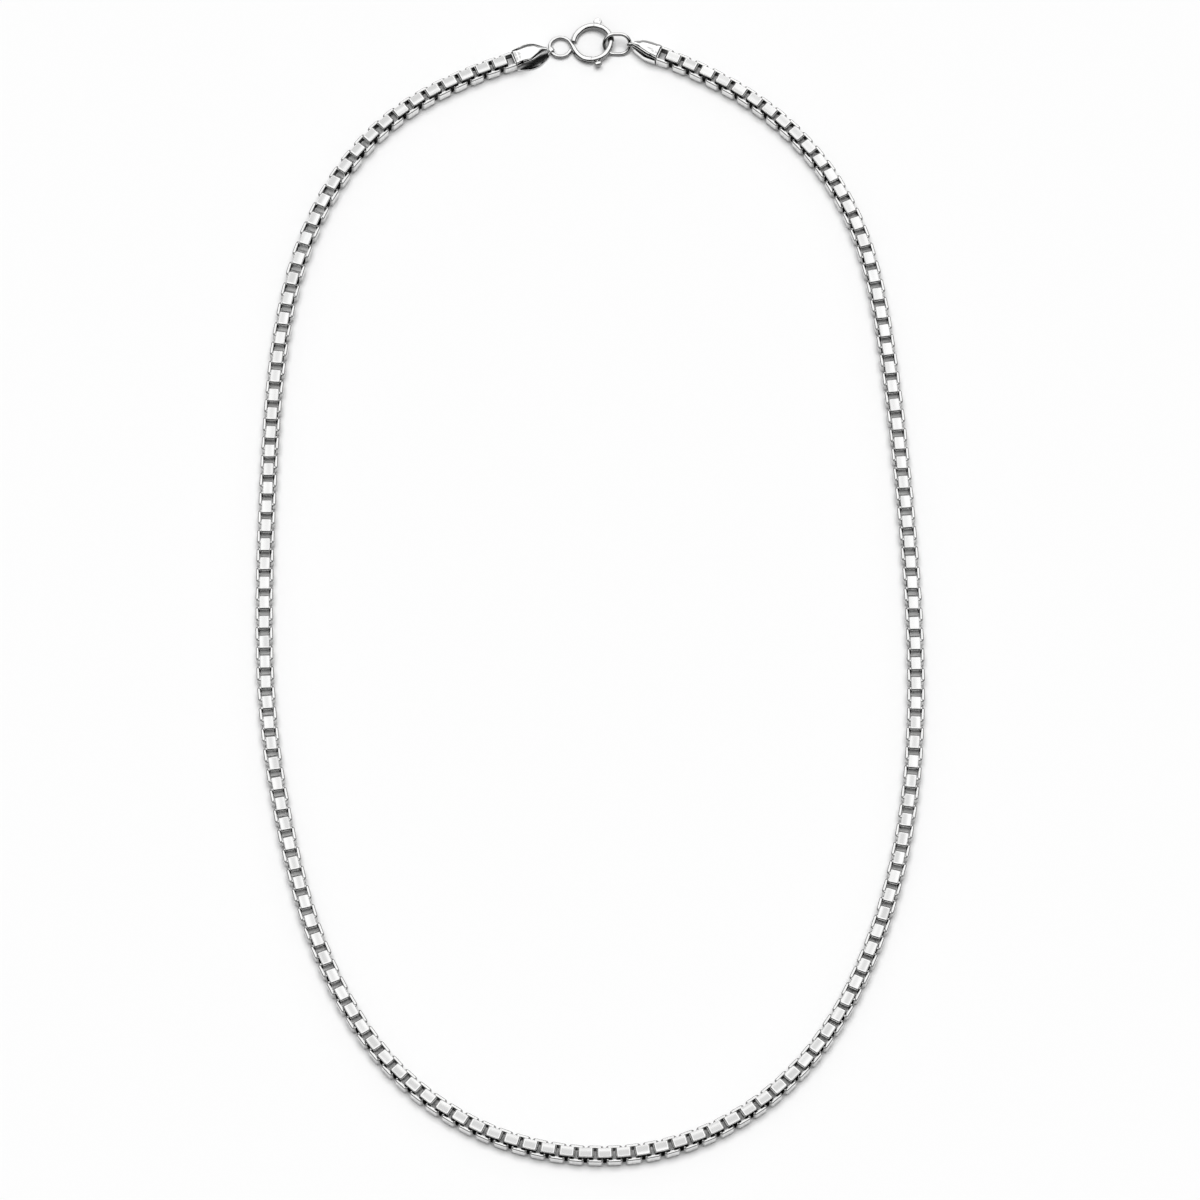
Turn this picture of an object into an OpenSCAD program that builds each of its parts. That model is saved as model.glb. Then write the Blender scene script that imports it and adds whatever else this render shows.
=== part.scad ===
// Box chain necklace with a spring ring clasp, closed and lying flat.
// Lengths are millimetres and angles are degrees. The front of the necklace is towards -Y.

/* [Chain] */
// Width and height of the square box chain
chain_w = 2.6; // [2:0.1:3.2]
// Width of the strip that each box link is bent from
strip_w = 1.5; // [1:0.1:1.8]

/* [Clasp ring] */
// Radius of the clasp tube's centre line
ring_r = 2.92; // [2.6:0.02:3.3]
// Outer diameter of the clasp tube
tube_d = 1; // [0.9:0.05:1.1]
// Wall of the clasp tube
tube_wall = 0.06; // [0.04:0.005:0.1]
// Angle of the tube's open mouth, where the bolt comes out
mouth_angle = -92; // [-100:1:-84]
// Angle at which the upper part of the tube ends beside the loop
upper_end_angle = 174; // [170:1:176]
// Depth of the socket for the bolt's tip, as an angle
socket_depth = 6; // [4:1:9]
// Diameter of the fixed round tab
tab_d = 1.3; // [1:0.05:1.6]
// Thickness of the fixed round tab
tab_t = 0.4; // [0.25:0.05:0.6]
// How far the tab's middle lies outside the tube's centre line
tab_out = 0.78; // [0.65:0.01:0.9]
// Angle of the fixed round tab
tab_angle = 77; // [65:1:90]

/* [Bolt] */
// Play between the bolt and the tube, on the radius
bolt_play = 0.02; // [0.01:0.01:0.05]
// How far the bolt's tip reaches into the socket, as an angle
tip_reach = 3; // [1:1:4]
// Length of the bolt inside the tube when it is closed, as an angle
tail_reach = 17; // [15:1:18]
// How far the bolt slides back, as an angle
bolt_travel = 40; // [30:1:41]
// Diameter of the stem that carries the thumb bead
stem_d = 0.3; // [0.2:0.05:0.4]
// Play of the stem in its slot, on each side
stem_play = 0.03; // [0.02:0.01:0.08]
// Angle from the tube's mouth to the thumb bead when closed
bead_from_mouth = 16; // [10:1:24]
// Length of the oval thumb bead
bead_len = 1.25; // [1:0.05:1.6]
// Diameter of the oval thumb bead
bead_d = 0.75; // [0.5:0.05:0.9]
// Gap between the thumb bead and the tube
bead_gap = 0.03; // [0.02:0.01:0.1]

/* [Loop] */
// Radius of the loop's centre line
loop_r = 1.65; // [1.45:0.05:1.9]
// Diameter of the loop's wire
loop_wire_d = 0.58; // [0.5:0.02:0.62]
// Gap between the centre lines of the clasp tube and the loop, crossed by a straight neck
loop_out = 0.36; // [0.26:0.02:0.44]
// Angle from the clasp ring's middle to the loop's middle
loop_angle = 186.4; // [184:0.2:189]
// Angle on the loop at which its wire ends against the neck
loop_end_angle = 336; // [334:1:345]

/* [Jump ring] */
// Radius of the round ends' centre line
jump_r = 1.56; // [1.48:0.02:1.8]
// Length of the straight sides
jump_straight = 0.88; // [0.7:0.02:1.2]
// Diameter of the jump ring's wire
jump_wire_d = 0.58; // [0.5:0.02:0.62]
// How far the jump ring's middle lies outside the clasp tube's centre line
jump_out = 0.92; // [0.82:0.02:1.02]
// How far the jump ring's middle lies in front of the clasp ring's middle
jump_front = 0.44; // [0.3:0.02:0.5]

/* [End caps] */
// Length of the left cap, from its mouth to the middle of its eye
left_cap_len = 5.95; // [5:0.05:7]
// Length of the right cap, from its mouth to the middle of its eye
right_cap_len = 4.75; // [4.5:0.05:6]
// Direction in which the left cap runs from its eye to its mouth
left_cap_angle = 199.5; // [195:0.5:205]
// Direction in which the right cap runs from its eye to its mouth
right_cap_angle = -23; // [-32:0.5:-20]
// Angle on the loop at which the left cap's eye sits
left_eye_angle = 207; // [195:1:215]
// Outer diameter of an eye
eye_d = 1.3; // [1.2:0.05:1.6]
// Diameter of the hole in an eye
eye_hole_d = 0.8; // [0.7:0.05:0.9]
// Width of an eye along its hole
eye_w = 0.7; // [0.5:0.05:0.8]

/* [Gaps] */
// Gap kept where the jump ring crosses the clasp tube and the bolt
cross_gap = 0.08; // [0.06:0.01:0.14]
// Gap round the loop's wire in the left eye, at its closest
eye_gap = 0.03; // [0.02:0.01:0.06]
// Gap between a cap's mouth and the end of the chain
mouth_gap = 0.05; // [0.02:0.01:0.1]

/* [Hidden] */
$fn = 96;

// Place of the clasp ring's middle
clasp_at = [0.3, 89.8];

// Guide points of the chain's lie, from the right cap round the front to the left cap.
// The points beside each cap are worked out from the caps.
guide = [
    [29.5, 78], [41.5, 60], [45, 39.5], [47, 18.5], [48.5, -2.5], [49, -23], [47, -44],
    [41, -64.5], [30.5, -82.5], [12, -94], [-10, -93.5], [-28.5, -82.5], [-39.5, -64],
    [-45, -44], [-48.5, -23.5], [-49, -2.5], [-48.5, 18.5], [-47.5, 39.5], [-43, 60],
    [-31.5, 78]
];
// Distance from a cap's mouth to the first guide point
lead = 7.1;
// Cross sections of each half of the chain
half_rings = 40;

// Folds of the end caps, a row for each section from the mouth to the eye. Along is a share
// of the cap's length. The next six are places across the cap, as shares of half the chain's
// width, with the far side positive: top edge, widest place and foot on the far side, then
// foot, middle and top edge on the near side. Drop is the share of the way down to the eye.
ALONG = 0;
TOP_FAR = 1;
SIDE_FAR = 2;
FOOT_FAR = 3;
FOOT_NEAR = 4;
SIDE_NEAR = 5;
TOP_NEAR = 6;
DROP = 7;
left_folds = [
    [0.00, 0.92, 1.00, 0.92, -0.92, -1.00, -0.92, 0.00],
    [0.12, 0.98, 1.15, 0.95, -1.12, -1.00, -0.92, 0.00],
    [0.24, 0.98, 1.38, 0.95, -1.34, -0.98, -0.86, -0.05],
    [0.36, 0.94, 1.50, 0.92, -1.44, -0.90, -0.76, -0.05],
    [0.50, 0.86, 1.36, 0.82, -1.34, -0.66, -0.48, 0.14],
    [0.64, 0.70, 1.00, 0.64, -1.08, -0.40, -0.22, 0.45],
    [0.78, 0.42, 0.60, 0.40, -0.72, -0.30, -0.18, 0.76],
    [0.90, 0.24, 0.28, 0.24, -0.32, -0.26, -0.22, 0.96],
    [1.00, 0.22, 0.26, 0.22, -0.22, -0.26, -0.22, 1.00]
];
right_folds = [
    [0.00, 0.92, 1.00, 0.92, -0.92, -1.00, -0.92, 0.00],
    [0.12, 0.90, 1.06, 0.90, -0.94, -0.96, -0.88, 0.00],
    [0.26, 0.76, 1.14, 0.84, -0.90, -0.86, -0.78, 0.00],
    [0.40, 0.62, 1.18, 0.78, -0.84, -0.74, -0.68, 0.06],
    [0.54, 0.56, 1.12, 0.70, -0.80, -0.60, -0.56, 0.20],
    [0.68, 0.52, 0.94, 0.58, -0.72, -0.46, -0.42, 0.46],
    [0.80, 0.40, 0.62, 0.40, -0.56, -0.34, -0.30, 0.74],
    [0.90, 0.24, 0.30, 0.24, -0.30, -0.26, -0.22, 0.94],
    [1.00, 0.22, 0.26, 0.22, -0.22, -0.26, -0.22, 1.00]
];
// Height of a cap at its eye, as a share of the eye's diameter
neck_share = 0.72;

// Sizes of the sliding bolt and its places round the ring
bore_d = tube_d - 2 * tube_wall;
bolt_d = bore_d - 2 * bolt_play;
bead_angle = mouth_angle + bead_from_mouth;
bead_r = ring_r + tube_d / 2 + bead_gap + bead_d / 2;
tail_angle = mouth_angle - tail_reach;
stem_half = asin((stem_d / 2 + stem_play) / ring_r);
slot_end = bead_angle - bolt_travel - stem_half - 1;

// The tube and the loop are joined along the straight line that touches both of their circles.
// It leaves the ring at neck_angle and meets the loop at meet_angle.
loop_reach = ring_r + loop_r + loop_out;
neck_turn = acos((ring_r + loop_r) / loop_reach);
neck_angle = loop_angle + neck_turn - 360;
meet_angle = loop_angle + neck_turn - 180;

// Seen from above, the jump ring crosses the tube on the far side and the bolt on the near side.
// Each crossing is cross_x from the clasp ring's middle, and cross_v from the jump ring's long
// middle line along its slope, found in two steps from a first guess.
jump_x = ring_r + jump_out;
usual_tilt = 36;
function cross_x(v) = sqrt(pow(ring_r, 2) - pow(v * cos(usual_tilt) - jump_front, 2));
function cross_v(v) =
    sign(v) * sqrt(pow(jump_r, 2) - pow(max(0, jump_x - jump_straight / 2 - cross_x(v)), 2));
far_v = cross_v(cross_v(0.9 * jump_r));
near_v = cross_v(cross_v(-0.9 * jump_r));
far_x = cross_x(far_v);
near_x = cross_x(near_v);

// The jump ring rests on its near side and slopes up over the tube. The clasp ring rests on its
// left side and leans up over the jump ring's near side. The wire slopes where they cross, so
// the upright distance there is a little more than the two radii and the gap.
function upright(need, v) =
    need / sqrt(1 - pow(sin(usual_tilt), 2) * (1 - pow(v / jump_r, 2)));
far_need = upright((tube_d + jump_wire_d) / 2 + cross_gap, far_v);
near_need = upright((bolt_d + jump_wire_d) / 2 + cross_gap, near_v);
near_lift = near_need + (jump_wire_d - tube_d) / 2;
tube_rise = (far_x - near_x) / (ring_r + near_x);
jump_tilt = asin(
    (far_need + near_need + tube_rise * near_lift) / (far_v - near_v - tube_rise * (jump_r + near_v))
);
jump_z = jump_wire_d / 2 + jump_r * sin(jump_tilt);
ring_lean = asin((near_lift + (jump_r + near_v) * sin(jump_tilt)) / (ring_r + near_x));
ring_z = tube_d / 2 + ring_r * sin(ring_lean);

// Both eyes, the lowest point of the left one resting on the surface
function polar(r, a) = [r * cos(a), r * sin(a)];
left_eye_z = eye_d / 2;
loop_z = left_eye_z - (eye_hole_d - loop_wire_d) / 2 + eye_gap;
loop_at = clasp_at + polar(loop_reach, loop_angle);
jump_at = clasp_at + [jump_x, -jump_front];
left_eye = loop_at + polar(loop_r, left_eye_angle);
right_eye = jump_at + [jump_r + jump_straight / 2, 0];
left_mouth = left_eye + polar(left_cap_len, left_cap_angle);
right_mouth = right_eye + polar(right_cap_len, right_cap_angle);

// The chain's lie is a cubic curve led by its guide points and ending at the two caps
lie = concat(
    [right_mouth + polar(mouth_gap, right_cap_angle), right_mouth + polar(lead, right_cap_angle)],
    guide,
    [left_mouth + polar(lead, left_cap_angle), left_mouth + polar(mouth_gap, left_cap_angle)]
);
spans = len(lie) - 3;
function knot(i) = max(0, min(1, (i - 3) / spans));
function share(part, whole) = whole == 0 ? 0 : part / whole;
function weight(i, level, t) = level == 0
    ? (knot(i) <= t && t < knot(i + 1) ? 1 : 0)
    : share(t - knot(i), knot(i + level) - knot(i)) * weight(i, level - 1, t)
    + share(knot(i + level + 1) - t, knot(i + level + 1) - knot(i + 1))
    * weight(i + 1, level - 1, t);
tiny = 1e-6;
function on_lie(t) =
    let (u = max(0, min(1 - tiny, t)), first = floor(u * spans))
    [for (axis = [0, 1]) let (terms = [for (i = [first : first + 3]) weight(i, 3, u) * lie[i][axis]])
        terms[0] + terms[1] + terms[2] + terms[3]];
function unit(v) = v / norm(v);
step = 1e-3;
function lie_way(t) = unit(on_lie(t + step) - on_lie(t - step));

// Faces of a skin over rings of n points each, closed at both ends
function skin(rings, n) = concat(
    [[for (j = [0 : n - 1]) j]],
    [for (i = [0 : rings - 2]) for (j = [0 : n - 1]) let (a = i * n + j, b = i * n + (j + 1) % n)
        each [[a, a + n, b], [b, a + n, b + n]]],
    [[for (j = [n - 1 : -1 : 0]) (rings - 1) * n + j]]
);

// Half of the chain, from share t0 to share t1 of its lie
module chain_half(t0, t1) {
    w = chain_w / 2;
    s = strip_w / 2;
    section = [[s, -w], [w, -s], [w, s], [s, w], [-s, w], [-w, s], [-w, -s], [-s, -w]];
    points = [
        for (i = [0 : half_rings - 1])
        let (t = t0 + (t1 - t0) * i / (half_rings - 1), p = on_lie(t), d = lie_way(t))
        for (c = section)
        [p[0] + d[1] * c[0], p[1] - d[0] * c[0], w + c[1]]
    ];
    polyhedron(points, skin(half_rings, len(section)), convexity = 10);
}

module chain_right() {
    color("silver") chain_half(0, 0.5);
}

module chain_left() {
    color("silver") chain_half(0.5, 1);
}

// Folded sheet of an end cap, drawn with its mouth at the origin and its eye along +X
module cap_sheet(folds, length, eye_z) {
    half_w = chain_w / 2;
    neck_h = neck_share * eye_d;
    points = [
        for (row = folds)
        let (
            x = row[ALONG] * length,
            top = chain_w + (eye_z + neck_h / 2 - chain_w) * row[DROP],
            foot = max(0, (eye_z - neck_h / 2) * row[DROP]),
            middle = (top + foot) / 2
        )
        for (p = [
            [row[TOP_FAR], top], [row[TOP_NEAR], top], [row[SIDE_NEAR], middle],
            [row[FOOT_NEAR], foot], [row[FOOT_FAR], foot], [row[SIDE_FAR], middle]
        ])
        [x, p[0] * half_w, p[1]]
    ];
    polyhedron(points, skin(len(folds), 6), convexity = 6);
}

// Eye and its hole, with the hole along the wire that passes through it
module eye(at, z, turn, diameter, width) {
    translate([at[0], at[1], z])
        rotate(turn)
            cylinder(h = width, d = diameter, center = true);
}

module end_cap_left() {
    turn = [90, 0, left_eye_angle];
    color("gainsboro") difference() {
        union() {
            translate(left_mouth)
                rotate(left_cap_angle - 180)
                    cap_sheet(left_folds, left_cap_len, left_eye_z);
            eye(left_eye, left_eye_z, turn, eye_d, eye_w);
        }
        eye(left_eye, left_eye_z, turn, eye_hole_d, 3 * eye_w);
    }
}

module end_cap_right() {
    turn = [jump_tilt - 90, 0, 0];
    color("gainsboro") difference() {
        union() {
            translate(right_mouth)
                rotate(right_cap_angle + 180)
                    mirror([0, 1, 0])
                        cap_sheet(right_folds, right_cap_len, jump_z);
            eye(right_eye, jump_z, turn, eye_d, eye_w);
        }
        eye(right_eye, jump_z, turn, eye_hole_d, 3 * eye_w);
    }
}

// Bent bar or bore round the ring's middle, from angle a0 to angle a1
module arc(r, d, a0, a1) {
    rotate(a0)
        rotate_extrude(angle = a1 - a0)
            translate([r, 0])
                circle(d = d);
}

// Puts a shape drawn round the ring's middle in its leaning place
module in_ring() {
    translate([clasp_at[0], clasp_at[1], ring_z])
        rotate([0, -ring_lean, 0])
            children();
}

module clasp_ring() {
    color("lightgray") difference() {
        union() {
            in_ring() {
                arc(ring_r, tube_d, 0, upper_end_angle);
                arc(ring_r, tube_d, neck_angle, mouth_angle);
                rotate(neck_angle) translate([ring_r, 0, 0]) sphere(d = tube_d);
                rotate(tab_angle)
                    translate([ring_r + tab_out, 0, 0])
                        cylinder(h = tab_t, d = tab_d, center = true);
            }
            neck();
            translate([loop_at[0], loop_at[1], loop_z])
                arc(loop_r, loop_wire_d, meet_angle - 2, loop_end_angle);
        }
        in_ring() {
            arc(ring_r, bore_d, neck_angle, mouth_angle + 1);
            arc(ring_r, bore_d, -1, socket_depth);
            slot();
        }
    }
}

// Straight neck that narrows from the tube to the loop's wire
module neck() {
    start = [
        clasp_at[0] + ring_r * cos(neck_angle) * cos(ring_lean),
        clasp_at[1] + ring_r * sin(neck_angle),
        ring_z + ring_r * cos(neck_angle) * sin(ring_lean)
    ];
    meet = loop_at + polar(loop_r, meet_angle);
    way = [meet[0], meet[1], loop_z] - start;
    translate(start)
        rotate([0, acos(way[2] / norm(way)), atan2(way[1], way[0])])
            cylinder(h = norm(way), d1 = 0.96 * tube_d, d2 = 1.08 * loop_wire_d);
}

// Slot in the outer wall of the tube, in which the stem slides
module slot() {
    height = stem_d + 2 * stem_play;
    rotate(slot_end)
        rotate_extrude(angle = mouth_angle + 1 - slot_end)
            translate([ring_r, -height / 2])
                square([tube_d, height]);
}

module clasp_bolt() {
    barrel = bead_len - bead_d;
    color("whitesmoke") in_ring() {
        arc(ring_r, bolt_d, tail_angle, tip_reach);
        rotate(bead_angle) {
            translate([ring_r, 0, 0]) rotate([0, 90, 0]) cylinder(h = bead_r - ring_r, d = stem_d);
            translate([bead_r, 0, 0]) rotate([90, 0, 0]) cylinder(h = barrel, d = bead_d, center = true);
            for (side = [-1, 1]) translate([bead_r, side * barrel / 2, 0]) sphere(d = bead_d);
        }
    }
}

module jump_ring() {
    half = jump_straight / 2;
    color("lightgray")
        translate([jump_at[0], jump_at[1], jump_z])
            rotate([jump_tilt, 0, 0]) {
                translate([half, 0, 0]) arc(jump_r, jump_wire_d, -90, 90);
                translate([-half, 0, 0]) arc(jump_r, jump_wire_d, 90, 270);
                for (side = [-1, 1])
                    translate([0, side * jump_r, 0])
                        rotate([0, 90, 0])
                            cylinder(h = jump_straight, d = jump_wire_d, center = true);
            }
}

chain_left();
chain_right();
end_cap_left();
end_cap_right();
clasp_ring();
clasp_bolt();
jump_ring();
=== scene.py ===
import math

import bmesh
import bpy
import numpy as np
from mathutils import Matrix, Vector


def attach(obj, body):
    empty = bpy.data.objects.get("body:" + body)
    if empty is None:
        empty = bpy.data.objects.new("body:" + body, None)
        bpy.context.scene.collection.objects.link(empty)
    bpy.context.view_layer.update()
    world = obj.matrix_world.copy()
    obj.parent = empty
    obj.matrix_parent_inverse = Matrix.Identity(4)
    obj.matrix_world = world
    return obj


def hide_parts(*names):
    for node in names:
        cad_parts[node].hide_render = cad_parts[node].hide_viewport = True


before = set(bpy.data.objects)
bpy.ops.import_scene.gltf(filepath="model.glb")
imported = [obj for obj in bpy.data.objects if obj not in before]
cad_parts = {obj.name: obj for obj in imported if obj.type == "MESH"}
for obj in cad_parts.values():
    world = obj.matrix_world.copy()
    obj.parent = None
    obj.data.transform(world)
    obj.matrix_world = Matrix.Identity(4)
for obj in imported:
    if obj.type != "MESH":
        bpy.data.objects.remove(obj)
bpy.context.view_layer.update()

mm = 0.001  # sizes are in millimetres, and become metres as they go into a mesh
hardBody = "necklace"
boltBody = "bolt"


# Mesh helpers

def polar(radius, angle):
    # Point at a radius and an angle in degrees round the origin
    turn = math.radians(angle)
    return np.array([radius * math.cos(turn), radius * math.sin(turn)])


def unit(vectors):
    # Vectors divided by their lengths, along the last axis
    return vectors / np.maximum(np.linalg.norm(vectors, axis=-1, keepdims=True), 1e-12)


def smoothStep(low, high, value):
    # 0 below low, 1 above high, 3x^2 - 2x^3 between
    x = np.clip((np.asarray(value, float) - low) / (high - low), 0, 1)
    return x * x * (3 - 2 * x)


def gridFaces(rows, columns, closed=False):
    # Quads between neighbours of a grid of rows by columns points. The last column is joined to
    # the first, and closed joins the last row to the first too.
    i, j = np.meshgrid(np.arange(rows if closed else rows - 1), np.arange(columns), indexing="ij")
    down, right = (i + 1) % rows, (j + 1) % columns
    quads = [i * columns + j, down * columns + j, down * columns + right, i * columns + right]
    return np.stack(quads, -1).reshape(-1, 4)


def joined(parts):
    # Points and quads of several shells in one list, with the quads numbered on
    starts = np.cumsum([0] + [len(points.reshape(-1, 3)) for points, quads in parts])
    points = np.concatenate([points.reshape(-1, 3) for points, quads in parts])
    return points, np.concatenate([quads + start for (_, quads), start in zip(parts, starts)])


def putMesh(
    name, points, quads, material, body, replaced, cornerNormals=None, values=None, paintedShadeUnder=0.0
):
    # Mesh object from points in millimetres and quads, smooth shaded, riding on a body. Values
    # are its numbers for each corner of each quad, and the last argument is the painted shade on
    # what faces down.
    mesh = bpy.data.meshes.new(name)
    mesh.vertices.add(len(points))
    mesh.vertices.foreach_set("co", (np.asarray(points, float) * mm).ravel())
    mesh.loops.add(quads.size)
    mesh.loops.foreach_set("vertex_index", quads.ravel().astype(np.int32))
    mesh.polygons.add(len(quads))
    mesh.polygons.foreach_set("loop_start", np.arange(0, quads.size, 4, dtype=np.int32))
    mesh.polygons.foreach_set("use_smooth", np.ones(len(quads), bool))
    mesh.update(calc_edges=True)
    for label, numbers in (values or {}).items():
        layer = mesh.attributes.new(label, "FLOAT", "CORNER")
        layer.data.foreach_set("value", np.asarray(numbers, np.float32).ravel())
    if cornerNormals is None:
        closeUp(mesh)
    else:
        mesh.normals_split_custom_set(cornerNormals.reshape(-1, 3).tolist())
    if paintedShadeUnder:
        paintShadeUnder(mesh, paintedShadeUnder)
    mesh.materials.append(material)
    piece = bpy.data.objects.new(name, mesh)
    bpy.context.scene.collection.objects.link(piece)
    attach(piece, body)
    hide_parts(*replaced)
    print(name, len(mesh.polygons), "faces")


def closeUp(mesh):
    # Joins the points of poles, drops what has no area and turns each closed shell outwards
    work = bmesh.new()
    work.from_mesh(mesh)
    bmesh.ops.remove_doubles(work, verts=work.verts, dist=1e-7)
    bmesh.ops.dissolve_degenerate(work, edges=work.edges, dist=1e-8)
    bmesh.ops.recalc_face_normals(work, faces=work.faces)
    work.to_mesh(mesh)
    work.free()


def paintShadeUnder(mesh, amount):
    # Painted shade on what faces down or sideways, kept in the inner attribute. It fades out as
    # the upward share of the normal goes from low to high, and what is darker already stays.
    low, high = 0.3, 0.75
    facing = np.zeros(len(mesh.loops) * 3)
    mesh.corner_normals.foreach_get("vector", facing)
    layer = mesh.attributes.get("inner") or mesh.attributes.new("inner", "FLOAT", "CORNER")
    held = np.zeros(len(mesh.loops))
    layer.data.foreach_get("value", held)
    fresh = amount * (1 - smoothStep(low, high, facing[2::3]))
    layer.data.foreach_set("value", np.maximum(held, fresh))


def sweep(path, radius, around, tangents, upward):
    # Round section carried along a path: point = path + radius (side cos + up sin), where side
    # is square to upward and the tangent. Returns rows by around points.
    side = unit(np.cross(np.broadcast_to(upward, tangents.shape), tangents))
    up = np.cross(tangents, side)
    turn = np.linspace(0, 2 * math.pi, around, endpoint=False)
    ring = side[:, None] * np.cos(turn)[None, :, None] + up[:, None] * np.sin(turn)[None, :, None]
    return path[:, None] + np.broadcast_to(radius, (len(path),))[:, None, None] * ring


def lathe(profile, centre, axis, around, closed=False):
    # Profile of (radius, height) points turned about an axis: point = centre + height axis
    # + radius (side cos + up sin), with side square to the axis. Returns points and quads.
    axis = unit(np.asarray(axis, float))
    side = unit(np.cross(axis, [0.3, 0.2, 1.0] if abs(axis[2]) < 0.9 else [1.0, 0, 0]))
    up = np.cross(axis, side)
    turn = np.linspace(0, 2 * math.pi, around, endpoint=False)
    ring = side * np.cos(turn)[:, None] + up * np.sin(turn)[:, None]
    profile = np.asarray(profile, float)
    points = centre + profile[:, None, 1:] * axis + profile[:, None, :1] * ring[None]
    return points, gridFaces(len(profile), around, closed=closed)


def roundedBar(halfWidth, low, high, edge, steps=5):
    # Closed profile of a flat ring: a rectangle from radius low to high, with rounded corners
    turn = np.radians(np.linspace(0, 90, steps))
    corner = edge * np.stack([np.cos(turn), np.sin(turn)], -1)
    quarters = [
        corner * (1, 1) + (high - edge, halfWidth - edge),
        corner[::-1] * (-1, 1) + (low + edge, halfWidth - edge),
        corner * (-1, -1) + (low + edge, edge - halfWidth),
        corner[::-1] * (1, -1) + (high - edge, edge - halfWidth),
    ]
    return np.concatenate(quarters)


def roundedEnd(distance, reach):
    # Share of the full radius at a distance from an end: a quarter of an ellipse over reach
    return np.sqrt(np.clip(1 - (1 - np.clip(distance / reach, 0, 1)) ** 2, 0, 1))


# Camera at the photo's angle, 66 degrees above the front of the necklace

cameraView = {
    "target": (1.5, -4.5, 1.3),
    "elevation": 66,
    "distance": 1350,
    "lens": 270,
    "sensor": 36,
}


def addCamera():
    # Looks down at the target: place = target + distance (0, -cos, sin) of the elevation
    data = bpy.data.cameras.new("camera")
    data.lens = cameraView["lens"]
    data.sensor_width = cameraView["sensor"]
    data.clip_end = 20
    camera = bpy.data.objects.new("camera", data)
    bpy.context.scene.collection.objects.link(camera)
    up = math.radians(cameraView["elevation"])
    away = Vector((0, -math.cos(up), math.sin(up))) * cameraView["distance"]
    camera.location = (Vector(cameraView["target"]) + away) * mm
    camera.rotation_euler = (math.pi / 2 - up, 0, 0)
    bpy.context.scene.camera = camera


# Lie of the clasp and the rings, worked out as in the part's source. Tube, wires, tab, stem,
# bead and eye are diameters, and the angles are degrees round the clasp ring or its loop.

clasp = {
    "at": (0.3, 89.8),
    "ringRadius": 2.92,
    "tube": 1,
    "wall": 0.06,
    "mouth": -92,
    "upperEnd": 174,
    "socket": 6,  # depth of the socket for the bolt's tip, as an angle
    "tab": 1.3,
    "tabThick": 0.4,
    "tabOut": 0.78,
    "tabAngle": 77,
    "seam": 84,  # fine groove round the tube
    "play": 0.02,  # between the bolt and its bore, on the radius
    "tip": 3,
    "tail": 17,
    "travel": 40,
    "stem": 0.3,
    "stemPlay": 0.03,
    "beadFromMouth": 16,
    "beadLength": 1.25,
    "bead": 0.75,
    "beadGap": 0.03,
    "loopRadius": 1.65,
    "loopWire": 0.58,
    "loopOut": 0.36,  # gap between the tube's and the loop's centre lines
    "loopAngle": 186.4,
    "loopEnd": 346,
    "loopLift": 0.16,  # how much the neck arches over the cut end of the tube
    "jumpRadius": 1.56,
    "jumpStraight": 0.88,
    "jumpWire": 0.58,
    "jumpOut": 0.92,
    "jumpFront": 0.44,
    "crossGap": 0.08,  # between the jump ring and the tube or the bolt
    "usualTilt": 36,  # about how far the jump ring is tilted, for its crossings
    "eye": 1.3,
    "eyeHole": 0.8,
    "eyeGap": 0.03,
    "leftEyeAngle": 207,
    "leftCap": (5.95, 199.5),  # length and direction to the mouth
    "rightCap": (4.75, -23),
    "mouthGap": 0.05,
}
loopReach = clasp["ringRadius"] + clasp["loopRadius"] + clasp["loopOut"]
neckTurn = math.degrees(math.acos((clasp["ringRadius"] + clasp["loopRadius"]) / loopReach))
neckAngle = clasp["loopAngle"] + neckTurn - 360
meetAngle = clasp["loopAngle"] + neckTurn - 180
boreRadius = clasp["tube"] / 2 - clasp["wall"]
boltRadius = boreRadius - clasp["play"]
beadAngle = clasp["mouth"] + clasp["beadFromMouth"]
beadReach = clasp["ringRadius"] + clasp["tube"] / 2 + clasp["beadGap"] + clasp["bead"] / 2
jumpX = clasp["ringRadius"] + clasp["jumpOut"]


def crossX(v):
    # Distance from the clasp ring's middle at which the jump ring's wire crosses the tube
    down = v * math.cos(math.radians(clasp["usualTilt"])) - clasp["jumpFront"]
    return math.sqrt(clasp["ringRadius"] ** 2 - down**2)


def crossV(v):
    # Place of that crossing across the jump ring, from a first guess of it
    reach = max(0, jumpX - clasp["jumpStraight"] / 2 - crossX(v))
    return math.copysign(math.sqrt(clasp["jumpRadius"] ** 2 - reach**2), v)


def upright(need, v):
    # Upright distance of two wires whose middles must be need apart where the wire slopes
    slope = math.sin(math.radians(clasp["usualTilt"])) ** 2
    return need / math.sqrt(1 - slope * (1 - (v / clasp["jumpRadius"]) ** 2))


# The far and the near crossing, in two rounds from a first guess. The jump ring rests on its
# near side and slopes up over the tube, and the clasp ring rests on its left side and leans up
# over the jump ring's near side.
farV = crossV(crossV(0.9 * clasp["jumpRadius"]))
nearV = crossV(crossV(-0.9 * clasp["jumpRadius"]))
farX, nearX = crossX(farV), crossX(nearV)
farNeed = upright((clasp["tube"] + clasp["jumpWire"]) / 2 + clasp["crossGap"], farV)
nearNeed = upright(boltRadius + clasp["jumpWire"] / 2 + clasp["crossGap"], nearV)
nearLift = nearNeed + (clasp["jumpWire"] - clasp["tube"]) / 2
tubeRise = (farX - nearX) / (clasp["ringRadius"] + nearX)
jumpTilt = math.asin(
    (farNeed + nearNeed + tubeRise * nearLift)
    / (farV - nearV - tubeRise * (clasp["jumpRadius"] + nearV))
)
jumpZ = clasp["jumpWire"] / 2 + clasp["jumpRadius"] * math.sin(jumpTilt)
ringLean = math.asin(
    (nearLift + (clasp["jumpRadius"] + nearV) * math.sin(jumpTilt)) / (clasp["ringRadius"] + nearX)
)
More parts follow.
